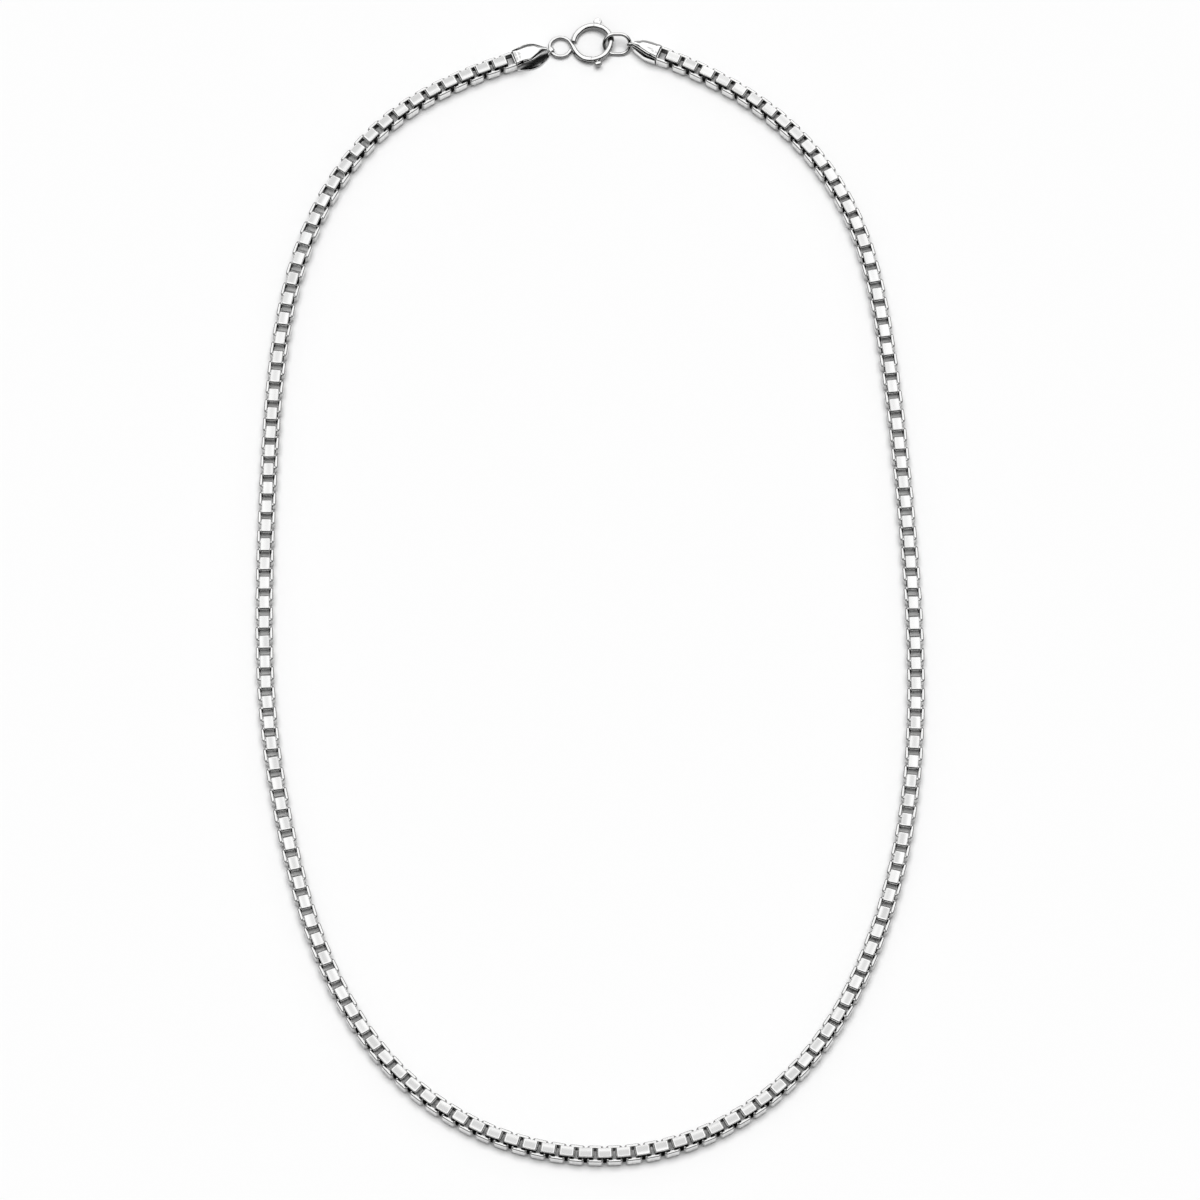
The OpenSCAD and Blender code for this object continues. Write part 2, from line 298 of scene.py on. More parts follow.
ringZ = clasp["tube"] / 2 + clasp["ringRadius"] * math.sin(ringLean)
leftEyeZ = clasp["eye"] / 2
loopZ = leftEyeZ - (clasp["eyeHole"] - clasp["loopWire"]) / 2 + clasp["eyeGap"]
ringAt = np.array(clasp["at"])
loopAt = ringAt + polar(loopReach, clasp["loopAngle"])
jumpAt = ringAt + np.array([jumpX, -clasp["jumpFront"]])
leftEye = loopAt + polar(clasp["loopRadius"], clasp["leftEyeAngle"])
rightEye = jumpAt + np.array([clasp["jumpRadius"] + clasp["jumpStraight"] / 2, 0])
leftMouth = leftEye + polar(*clasp["leftCap"])
rightMouth = rightEye + polar(*clasp["rightCap"])
ringNormal = np.array([-math.sin(ringLean), 0, math.cos(ringLean)])


def leaning(vectors):
    # Vectors drawn in a flat ring's plane, leaned with the clasp ring
    x, y, z = np.moveaxis(np.asarray(vectors, float), -1, 0)
    c, s = math.cos(ringLean), math.sin(ringLean)
    return np.stack([x * c - z * s, y, x * s + z * c], -1)


def onRing(radius, angle):
    # Points in the clasp ring's leaning plane, from a radius and an angle round its middle
    turn = np.radians(np.asarray(angle, float))
    flat = np.stack([radius * np.cos(turn), radius * np.sin(turn), 0 * turn], -1)
    return leaning(flat) + np.array([ringAt[0], ringAt[1], ringZ])


def alongRing(angle):
    # Clockwise tangent of the clasp ring at an angle
    turn = np.radians(np.asarray(angle, float))
    return leaning(np.stack([np.sin(turn), -np.cos(turn), 0 * turn], -1))


# Clasp: a hollow tube with its loop and tab, and the bolt that slides in it

ringLook = {
    "around": 32,
    "arcStep": 2.0,  # degrees between sections of the upper part
    "slotColumns": 2,  # columns open on each side of the slot's middle
    "slotSections": 19,
    "boreSections": 14,  # from the bore's blind end to the slot
    "backSections": 20,  # outside, from the slot to the neck
    "neckSections": 18,
    "loopSections": 96,
    "boreStart": 1.2,  # degrees from the neck to the bore's blind end
    "slotRoom": 1,  # degrees left behind the stem when the bolt is open
    "neckThin": (-0.15, 1.0),  # shares of the neck between which it thins to the loop's wire
    "archEnd": 1.3,  # the arch over the tube's end stops here: the loop is from 1 to 2
    "endRound": 0.12,  # length over which the loop's wire is rounded at its end
    "seamDepth": 0.035,
    "seamWidth": 0.05,
    "edge": 0.04,  # rounding of the tube's cut end
    "tabEdge": 0.19,
    "tabSteps": 13,  # round its rim
    "tabCrown": ((0, 0), (0.25, 0.004)),  # radii on the tab, and how far it has dropped there
    "tabDrop": 0.02,  # how far it has dropped at its rounded rim
    "tabAround": 40,
    "paintedShadeUnder": 0.85,  # painted shade on the undersides of the clasp's wires
    "socketShadeEnd": 13,  # painted shade on the tube from its socket to this angle, where the jump ring lies on it
}


def lowerStrand():
    # The bore from its blind end to the mouth, back along the outside to the neck, straight to
    # the loop and round it to its end. The slot's cells are left out and walled.
    radius, tube, around = clasp["ringRadius"], clasp["tube"] / 2, ringLook["around"]
    stemHalf = math.degrees((clasp["stem"] / 2 + clasp["stemPlay"]) / radius)
    slotEnd = beadAngle - clasp["travel"] - stemHalf - ringLook["slotRoom"]
    slotStops = np.linspace(slotEnd, clasp["mouth"], ringLook["slotSections"])
    deep = np.linspace(neckAngle + ringLook["boreStart"], slotEnd, ringLook["boreSections"])[:-1]
    outside = np.linspace(slotEnd, neckAngle, ringLook["backSections"])[1:]
    boreAngles = np.r_[deep[0], deep, slotStops]
    outerAngles = np.r_[slotStops[::-1], outside]
    angles = np.r_[boreAngles, outerAngles]
    radii = np.r_[0, np.full(len(boreAngles) - 1, boreRadius), np.full(len(outerAngles), tube)]
    path = onRing(radius, angles)
    # the straight neck, arched a little over the tube's end, and the loop
    loopSections = ringLook["loopSections"]
    loopTurn = np.radians(np.linspace(meetAngle, clasp["loopEnd"], loopSections))
    loopSide = np.stack([np.cos(loopTurn), np.sin(loopTurn), 0 * loopTurn], -1)
    loop = np.array([loopAt[0], loopAt[1], loopZ]) + loopSide * clasp["loopRadius"]
    loopWay = np.stack([-np.sin(loopTurn), np.cos(loopTurn), 0 * loopTurn], -1)
    share = np.linspace(0, 1, ringLook["neckSections"])[1:-1, None]
    neck = path[-1] + (loop[0] - path[-1]) * share
    neckWay = unit(loop[0] - path[-1])
    alongArch = np.r_[share[:, 0], 1 + np.linspace(0, 1, loopSections)]
    arch = clasp["loopLift"] * np.sin(math.pi * np.clip(alongArch / ringLook["archEnd"], 0, 1)) ** 2
    rest = np.concatenate([neck, loop])
    rest[:, 2] += arch
    # the radius goes from the tube's to the wire's, and the section turns level on the way
    wire = clasp["loopWire"] / 2
    neckRadii = tube + (wire - tube) * smoothStep(*ringLook["neckThin"], share[:, 0])
    left = np.linalg.norm(rest[-1] - rest, axis=1)
    thin = np.r_[neckRadii, np.full(loopSections, wire)] * roundedEnd(left, ringLook["endRound"])
    turnUp = smoothStep(0, 1, np.r_[share[:, 0], np.ones(loopSections)])[:, None]
    upNow = unit(ringNormal * (1 - turnUp) + np.array([0, 0, 1.0]) * turnUp)
    allPath = np.concatenate([path, rest])
    allWays = np.concatenate([alongRing(angles), np.broadcast_to(neckWay, neck.shape), loopWay])
    allUps = np.concatenate([np.broadcast_to(ringNormal, path.shape), upNow])
    points = sweep(allPath, np.r_[radii, thin], around, allWays, allUps)
    # cells of the slot, in the bore and outside, and the walls between the two
    rows = len(points)
    quads = gridFaces(rows, around).reshape(rows - 1, around, 4)
    slot = ringLook["slotColumns"]
    first = len(boreAngles) - len(slotStops)
    last = len(boreAngles) + len(slotStops) - 1
    slotCells = np.zeros((rows - 1, around), bool)
    slotCells[first:last, :slot] = True
    slotCells[first:last, -slot:] = True
    step = np.arange(len(slotStops) - 1)
    walls = [
        np.stack([
            (first + step) * around + column, (first + step + 1) * around + column,
            (last - step - 1) * around + column, (last - step) * around + column,
        ], -1)
        for column in (slot, around - slot)
    ]
    columns = np.arange(-slot, slot)
    end = np.stack([
        first * around + columns % around, first * around + (columns + 1) % around,
        last * around + (columns + 1) % around, last * around + columns % around,
    ], -1)
    return points, np.concatenate([quads[~slotCells]] + walls + [end])


def upperStrand():
    # The tube from its cut end beside the loop, over the top with its fine groove, to the
    # socket that takes the bolt's tip
    radius, tube, edge = clasp["ringRadius"], clasp["tube"] / 2, ringLook["edge"]
    start = clasp["upperEnd"]
    back = math.degrees(edge / radius)
    # sections in even steps, and close together at the groove
    seam = clasp["seam"] + np.array([-3, -2, -1.3, -0.8, -0.4, 0, 0.4, 0.8, 1.3, 2, 3])
    body = np.arange(start - back, 0, -ringLook["arcStep"])
    body = body[np.abs(body - clasp["seam"]) > 3.5]
    body = np.sort(np.r_[body, seam])[::-1]
    groove = ringLook["seamDepth"] * np.exp(
        -((np.radians(body - clasp["seam"]) * radius / ringLook["seamWidth"]) ** 2)
    )
    # closed cut end with its edge rounded, the tube, and back inside to the socket's bottom
    angles = np.r_[start, start, start - 0.3 * back, body, 0, 0, clasp["socket"], clasp["socket"]]
    radii = np.r_[0, tube - edge, tube - 0.3 * edge, tube - groove, tube, boreRadius, boreRadius, 0]
    points = sweep(onRing(radius, angles), radii, ringLook["around"], alongRing(angles), ringNormal)
    return points, gridFaces(len(points), ringLook["around"])


def makeClaspRing(material):
    # Both parts of the tube and the round tab, whose rim is half an ellipse round a low crown,
    # turned about the ring's normal
    radius, half, edge = clasp["ringRadius"], clasp["tabThick"] / 2, ringLook["tabEdge"]
    turn = np.radians(np.linspace(90, -90, ringLook["tabSteps"]))
    rimHalf = half - ringLook["tabDrop"]
    rim = np.stack([clasp["tab"] / 2 - edge + edge * np.cos(turn), rimHalf * np.sin(turn)], -1)
    crown = np.array([[out, half - drop] for out, drop in ringLook["tabCrown"]])
    profile = np.concatenate([crown, rim, crown[::-1] * (1, -1)])
    tabAt = onRing(radius + clasp["tabOut"], clasp["tabAngle"])
    tab = lathe(profile, tabAt, ringNormal, ringLook["tabAround"])
    points, quads = joined([lowerStrand(), upperStrand(), tab])
    # painted shade in the bore and a painted dark patch at the socket, by each point's place in the
    # ring's plane
    axes = np.stack([leaning([1.0, 0, 0]), leaning([0, 1.0, 0]), ringNormal], 1)
    way = (points - onRing(0.0, 0.0)) @ axes
    angle = np.degrees(np.arctan2(way[:, 1], way[:, 0]))
    depth = np.hypot(np.hypot(way[:, 0], way[:, 1]) - radius, way[:, 2])
    margin = 0.01
    bore = (depth < boreRadius + margin) & (way[:, 0] > -1)  # the neck lies beyond -1
    socketShade = smoothStep(-1, 0, angle) * (1 - smoothStep(-3, 0, angle - ringLook["socketShadeEnd"]))
    inner = np.maximum(bore, (depth < clasp["tube"] / 2 + margin) * socketShade)
    # the ring's undersides get painted shade as well
    putMesh(
        "claspRing", points, quads, material, hardBody, ["clasp_ring"],
        values={"inner": inner[quads]}, paintedShadeUnder=ringLook["paintedShadeUnder"],
    )


boltLook = {
    "around": 28,
    "sections": 90,
    "endRound": 0.16,  # rounding of the rod's ends
    "stemAround": 16,
    "beadSteps": 9,
}


def makeBolt(material):
    # Bent rod with rounded ends, a stem out through the slot and an oval bead on it
    radius, around, edge = clasp["ringRadius"], boltLook["around"], boltLook["endRound"]
    angles = np.linspace(clasp["tip"], clasp["mouth"] - clasp["tail"], boltLook["sections"])
    along = np.minimum(angles[0] - angles, angles - angles[-1]) * math.pi / 180 * radius
    radii = np.r_[0, boltRadius - edge + edge * roundedEnd(along, edge), 0]
    angles = np.r_[angles[0], angles, angles[-1]]
    rod = sweep(onRing(radius, angles), radii, around, alongRing(angles), ringNormal)
    middle = onRing(beadReach, beadAngle)
    outward = unit(middle - onRing(0.0, beadAngle))
    stem, base = clasp["stem"] / 2, radius - beadReach
    stemProfile = [(0, base), (stem, base), (stem, 0), (0, 0)]
    pin = lathe(stemProfile, middle, outward, boltLook["stemAround"])
    end, barrel = clasp["bead"] / 2, (clasp["beadLength"] - clasp["bead"]) / 2
    turn = np.radians(np.linspace(90, 0, boltLook["beadSteps"]))
    cap = np.stack([end * np.cos(turn), barrel + end * np.sin(turn)], -1)
    bead = lathe(np.concatenate([cap, cap[::-1] * (1, -1)]), middle, alongRing(beadAngle), around)
    points, quads = joined([(rod, gridFaces(len(rod), around)), pin, bead])
    # painted shade on the bolt's undersides
    putMesh("claspBolt", points, quads, material, boltBody, ["clasp_bolt"], paintedShadeUnder=ringLook["paintedShadeUnder"])


jumpLook = {
    "around": 24,
    "bendSections": 49,
    "sideSections": 9,
}


def makeJumpRing(material):
    # Half circles joined by straight sides, tilted up away from the viewer
    half, radius, around = clasp["jumpStraight"] / 2, clasp["jumpRadius"], jumpLook["around"]
    turn = np.radians(np.linspace(-90, 90, jumpLook["bendSections"]))
    right = np.stack([half + radius * np.cos(turn), radius * np.sin(turn)], -1)
    share = np.linspace(0, 1, jumpLook["sideSections"])[1:-1, None]
    top = right[-1] + (-right[0] - right[-1]) * share
    flat = np.concatenate([right, top, -right, -top])
    c, s = math.cos(jumpTilt), math.sin(jumpTilt)
    along, over = flat.T
    path = np.stack([jumpAt[0] + along, jumpAt[1] + over * c, jumpZ + over * s], -1)
    ways = unit(np.roll(path, -1, axis=0) - np.roll(path, 1, axis=0))
    points = sweep(path, clasp["jumpWire"] / 2, around, ways, np.array([0, -s, c]))
    # painted shade on the jump ring's undersides
    putMesh(
        "jumpRing", points.reshape(-1, 3), gridFaces(len(points), around, closed=True), material,
        hardBody, ["jump_ring"], paintedShadeUnder=ringLook["paintedShadeUnder"],
    )


# End caps: folded sheet drawn by fold lines that run from the mouth to the eye

capLook = {
    "halfWidth": 1.3,
    "wall": 0.12,
    "sections": 72,
    "between": 5,  # points that round each fold line
    "roundness": 0.28,  # share of the way to the next fold line that the rounding takes
    "collar": (0.50, 0.05, 0.09),  # length of the raised band at the mouth, its height, its fall
    "hollow": 1.1,  # depth of the mouth
    "lowest": 0.005,
    "overlap": 0.1,  # how far the folded sheet runs into the eye
    "leftEyeSize": (0.62, 0.4, 0.64),  # width of the eye along its hole, the hole's radius, its own
    "rightEyeSize": (0.42, 0.4, 0.62),
    "eyeEdge": 0.07,
    "eyeAround": 36,
    # painted shade along the named fold lines, as a share of full shade
    "paintedShade": {
        "groove": 1, "slit": 1, "cheekTop": 0.6, "cheek": 1, "cheekLow": 0.7,
        "firstFold": 1, "secondFold": 1,
    },
}
# Fold lines, each with its places at six even shares of the cap's length: across the cap as
# shares of its half width with the far side positive, then heights in millimetres
leftFolds = {
    "farFoot": ((0.95, 1.08, 1.12, 0.95, 0.55, 0.26), (0.05, 0.05, 0.05, 0.10, 0.18, 0.30)),
    "farSide": ((1.04, 1.40, 1.58, 1.42, 0.84, 0.30), (1.30, 1.45, 1.50, 1.35, 0.95, 0.62)),
    "farTop": ((0.96, 1.14, 1.28, 1.18, 0.74, 0.28), (2.50, 2.46, 2.26, 1.92, 1.46, 0.98)),
    "groove": ((0.80, 0.90, 1.02, 0.98, 0.60, 0.22), (2.34, 2.06, 1.88, 1.64, 1.30, 1.02)),
    "leafFar": ((0.68, 0.76, 0.88, 0.84, 0.50, 0.18), (2.59, 2.55, 2.38, 2.04, 1.58, 1.12)),
    "leafMiddle": ((0.0, 0.05, 0.06, 0.34, 0.34, 0.10), (2.60, 2.62, 2.44, 2.09, 1.61, 1.14)),
    "leafNear": ((-0.90, -0.80, -0.74, -0.28, 0.16, 0.02), (2.56, 2.54, 2.36, 2.02, 1.56, 1.12)),
    "slit": ((-1.00, -0.90, -0.83, -0.42, 0.04, -0.04), (1.60, 1.60, 2.10, 1.88, 1.46, 1.02)),
    "rim": ((-1.16, -1.04, -0.94, -0.54, -0.12, -0.12), (2.42, 2.40, 2.22, 1.90, 1.44, 1.00)),
    "cheekTop": ((-1.14, -1.02, -0.93, -0.58, -0.20, -0.16), (2.16, 2.14, 1.96, 1.66, 1.24, 0.90)),
    "cheek": ((-0.76, -0.72, -0.70, -0.46, -0.30, -0.22), (1.20, 1.20, 1.20, 1.16, 0.86, 0.66)),
    "cheekLow": ((-0.92, -1.02, -1.12, -1.00, -0.66, -0.26), (0.60, 0.58, 0.58, 0.56, 0.46, 0.40)),
    "bottom": ((-1.02, -1.28, -1.46, -1.34, -0.90, -0.28), (0.28, 0.26, 0.26, 0.28, 0.30, 0.32)),
    "nearFoot": ((-0.92, -1.12, -1.32, -1.18, -0.76, -0.24), (0.03, 0.03, 0.03, 0.05, 0.12, 0.24)),
}
rightFolds = {
    "farFoot": ((0.95, 0.98, 0.94, 0.82, 0.56, 0.28), (0.05, 0.05, 0.05, 0.15, 0.40, 0.80)),
    "farSide": ((1.04, 1.22, 1.26, 1.16, 0.82, 0.32), (1.50, 1.60, 1.65, 1.55, 1.40, 1.20)),
    "farTop": ((0.90, 0.94, 0.92, 0.84, 0.62, 0.28), (2.46, 2.36, 2.30, 2.20, 1.90, 1.60)),
    "leafFar": ((0.56, 0.46, 0.46, 0.44, 0.40, 0.22), (2.60, 2.60, 2.56, 2.40, 2.06, 1.74)),
    "leafMiddle": ((-0.10, -0.14, -0.06, 0.02, 0.12, 0.10), (2.62, 2.66, 2.62, 2.46, 2.10, 1.78)),
    "leafNear": ((-0.78, -0.72, -0.58, -0.36, -0.10, 0.0), (2.56, 2.60, 2.56, 2.40, 2.06, 1.74)),
    "firstFold": ((-0.90, -0.84, -0.70, -0.47, -0.20, -0.08), (1.40, 1.30, 1.30, 1.40, 1.50, 1.50)),
    "sheetEdge": ((-0.96, -0.92, -0.78, -0.54, -0.30, -0.14), (2.34, 2.36, 2.26, 2.06, 1.82, 1.58)),
    "secondFold": ((-1.04, -1.02, -0.90, -0.64, -0.38, -0.18), (1.20, 1.10, 1.16, 1.34, 1.40, 1.40)),
    "lobeTop": ((-1.16, -1.20, -1.14, -0.88, -0.58, -0.26), (2.10, 2.06, 1.96, 1.86, 1.74, 1.44)),
    "lobe": ((-1.16, -1.22, -1.18, -0.94, -0.66, -0.28), (1.30, 1.20, 1.16, 1.20, 1.30, 1.24)),
    "bottom": ((-1.00, -1.04, -1.02, -0.84, -0.60, -0.26), (0.30, 0.28, 0.30, 0.46, 0.76, 1.00)),
    "nearFoot": ((-0.92, -0.92, -0.86, -0.70, -0.50, -0.22), (0.03, 0.03, 0.05, 0.20, 0.50, 0.86)),
}


def curveThrough(values, shares):
    # Smooth curve through evenly spaced values: Catmull-Rom, with its ends led on straight
    values = np.asarray(values, float)
    values = np.concatenate([[2 * values[0] - values[1]], values, [2 * values[-1] - values[-2]]])
    at = np.clip(np.asarray(shares, float), 0, 1) * (len(values) - 3)
    k = np.minimum(at.astype(int), len(values) - 4)
    t = (at - k).reshape((-1,) + (1,) * (values.ndim - 1))
    a, b, c, d = (values[k + j] for j in range(4))
    square = (2 * a - 5 * b + 4 * c - d) * t**2
    cube = (3 * b - a - 3 * c + d) * t**3
    return 0.5 * (2 * b + (c - a) * t + square + cube)


def makeCap(name, folds, mouth, way, length, eye, eyeAxis, eyeSize, farSign, material, replaced):
    # Sections across the cap: each is a closed polygon through the fold lines with rounded
    # corners. The first sections turn back into the mouth and close inside. The eye is a bar
    # with rounded edges, turned about its hole.
    stop = 1 - (clasp["eye"] / 2 - capLook["overlap"]) / length
    shares = np.linspace(0, stop, capLook["sections"])
    lines = np.array([[curveThrough(values, shares) for values in fold] for fold in folds.values()])
    flat = np.moveaxis(lines, 2, 0) * (capLook["halfWidth"], 1.0)
    # each corner is a quadratic curve, from part of the way to one neighbour to the other
    cut = capLook["roundness"]
    start = flat + (np.roll(flat, 1, axis=1) - flat) * cut
    end = flat + (np.roll(flat, -1, axis=1) - flat) * cut
    corners = [
        start * (1 - t) ** 2 + 2 * flat * t * (1 - t) + end * t**2
        for t in np.linspace(0, 1, capLook["between"])
    ]
    ring = np.stack(corners, 2).reshape(len(shares), -1, 2)
    middle = ring.mean(axis=1, keepdims=True)
    along = shares * length
    reach, rise, fall = capLook["collar"]
    raised = rise * (1 - smoothStep(reach, reach + fall, along))
    ring = ring + unit(ring - middle) * raised[:, None, None]
    ring[..., 1] = np.maximum(ring[..., 1], capLook["lowest"])
    inside = middle[0] + (ring[0] - middle[0]) * (1 - capLook["wall"] / capLook["halfWidth"])
    first, last = (np.broadcast_to(middle[k], inside.shape) for k in (0, -1))
    sections = np.concatenate([[first, inside, inside], ring, [last]])
    along = np.r_[capLook["hollow"], capLook["hollow"], 0, along, along[-1]]
    turn = math.radians(way)
    forward = np.array([math.cos(turn), math.sin(turn), 0])
    across = np.array([-math.sin(turn), math.cos(turn), 0]) * farSign
    points = (
        np.array([mouth[0], mouth[1], 0]) + along[:, None, None] * forward
        + sections[..., :1] * across + sections[..., 1:] * np.array([0, 0, 1.0])
    )
    width, low, high = eyeSize
    bar = roundedBar(width / 2, low, high, capLook["eyeEdge"])
    eyeRing = lathe(bar, np.array(eye), eyeAxis, capLook["eyeAround"], closed=True)
    allPoints, quads = joined([(points, gridFaces(len(sections), ring.shape[1])), eyeRing])
    # painted shade along the dark fold lines and in the hollow of the mouth
    dark = np.repeat([capLook["paintedShade"].get(fold, 0) for fold in folds], capLook["between"])
    inner = np.tile(dark.astype(float), (len(sections), 1))
    inner[:3] = 1
    inner = np.r_[inner.ravel(), np.zeros(len(allPoints) - inner.size)]
    putMesh(name, allPoints, quads, material, hardBody, replaced, values={"inner": inner[quads]})


def makeCaps(material):
    # The left cap's hole lies along the loop's wire, and the right one's along the jump ring's
    wire = np.radians(clasp["leftEyeAngle"])
    makeCap(
        "endCapLeft", leftFolds, leftMouth, clasp["leftCap"][1] - 180, clasp["leftCap"][0],
        (leftEye[0], leftEye[1], leftEyeZ), (-np.sin(wire), np.cos(wire), 0),
        capLook["leftEyeSize"], 1, material, ["end_cap_left"],
    )
    makeCap(
        "endCapRight", rightFolds, rightMouth, clasp["rightCap"][1] + 180, clasp["rightCap"][0],
        (rightEye[0], rightEye[1], jumpZ), (0, math.cos(jumpTilt), math.sin(jumpTilt)),
        capLook["rightEyeSize"], -1, material, ["end_cap_right"],
    )


# Chain: box links threaded along the lie, every other one upright

chain = {
    "width": 2.6,
    "strip": 1.5,
    "thick": 0.38,
    "innerBend": 0.06,
    "length": 0.93,  # a link's length along the chain, as a share of its width
    "edgeRound": 0.12,
    "bendPaintedShade": (0, 0.5, 0.5, 0),  # painted shade at the start of a bend, along it and at its end
    "flankPaintedShade": 0.93,  # painted shade on the sides of an upright link, which face its neighbours
    "endPaintedShade": (0.9, 0),  # painted shade at the top and the bottom of an upright link's ends
    "uprightBend": 0.2,  # share of the bends' painted shade on an upright link
    "cornerPaintedShade": 0.85,  # painted shade on the corners of a lying link, which its neighbours cover
    "edgePaintedShade": 0.7,  # painted shade on the rounded edges of a lying link
    "sidePaintedShade": 0.08,  # painted shade on the outer sides of a lying link
    "edgeCrown": 16,  # degrees that the strip's edges round off towards both faces
    "crown": 3,  # degrees that the polished faces round off towards their edges
    "links": 285,
    "endInset": 0.95,  # from a cap's mouth to the middle of the first lying link
    "yaw": 1.6,  # degrees, at most, that a link is turned sideways
    "roll": 1.4,  # round the chain
    "tilt": 0.8,  # and up or down
    "drop": 0.07,  # a lying link rests up to this far below the middle
    "leastDrop": 0.2,  # share of the drop that every lying link has
    "lead": 7.1,  # from a cap's mouth to the first guide point
    "samples": 6001,  # points that the lie is measured by
    "seed": 7,
}
# Spacing of the links, from the right cap to the left: share of the chain's length, millimetres
# a link
chainSlack = [
    (0.00, 1.46), (0.05, 1.44), (0.11, 1.56), (0.16, 1.57), (0.20, 1.64), (0.24, 1.69),
    (0.29, 1.58), (0.33, 1.57), (0.38, 1.45), (0.42, 1.44), (0.46, 1.41), (0.53, 1.37),
    (0.58, 1.49), (0.62, 1.55), (0.67, 1.63), (0.71, 1.67), (0.76, 1.60), (0.80, 1.54),
    (0.84, 1.58), (0.89, 1.80), (0.94, 1.61), (0.98, 1.41), (1.00, 1.40),
]
# Guide points of the lie, from the right cap round the front to the left cap
chainGuide = [
    (29.5, 78), (41.5, 60), (45, 39.5), (47, 18.5), (48.5, -2.5), (49, -23), (47, -44),
    (41, -64.5), (30.5, -82.5), (12, -94), (-10, -93.5), (-28.5, -82.5), (-39.5, -64),
    (-45, -44), (-48.5, -23.5), (-49, -2.5), (-48.5, 18.5), (-47.5, 39.5), (-43, 60),
    (-31.5, 78),
]


def chainLie(samples):
    # Cubic B-spline over the guide points, with its ends at the caps, by de Boor's rule
    rightWay, leftWay = clasp["rightCap"][1], clasp["leftCap"][1]
    gap, lead = clasp["mouthGap"], chain["lead"]
    guide = np.array(
        [rightMouth + polar(gap, rightWay), rightMouth + polar(lead, rightWay)]
        + [np.array(p, float) for p in chainGuide]
        + [leftMouth + polar(lead, leftWay), leftMouth + polar(gap, leftWay)]
    )
    spans = len(guide) - 3
    knots = np.clip((np.arange(len(guide) + 4) - 3) / spans, 0, 1)
    t = np.linspace(0, 1 - 1e-9, samples)
    k = (t * spans).astype(int) + 3
    level = [guide[k - 3 + j] for j in range(4)]
    for r in range(1, 4):
        for j in range(3, r - 1, -1):
            low, high = knots[k - 3 + j], knots[k + 1 + j - r]
            mix = ((t - low) / (high - low))[:, None]
            level[j] = (1 - mix) * level[j - 1] + mix * level[j]
    return level[3]


def linkPlaces():
    # Middle and direction of each link, in equal steps of the sum of length over spacing
    line = chainLie(chain["samples"])
    along = np.r_[0, np.cumsum(np.linalg.norm(np.diff(line, axis=0), axis=1))]
    slack = np.array(chainSlack)
    steps = 1 / np.interp(along / along[-1], slack[:, 0], slack[:, 1])
    count = np.r_[0, np.cumsum((steps[1:] + steps[:-1]) / 2 * np.diff(along))]
    first, last = np.interp([chain["endInset"], along[-1] - chain["endInset"]], along, count)
    numbers = np.arange(chain["links"])
    at = np.interp(first + (last - first) * numbers / (chain["links"] - 1), count, along)

    def lineAt(distance):
        # Point on the lie at a distance along it, kept between its ends
        inside = np.clip(distance, 0, along[-1])
        return np.stack([np.interp(inside, along, line[:, axis]) for axis in (0, 1)], -1)

    return lineAt(at), unit(lineAt(at + 1) - lineAt(at - 1)), numbers


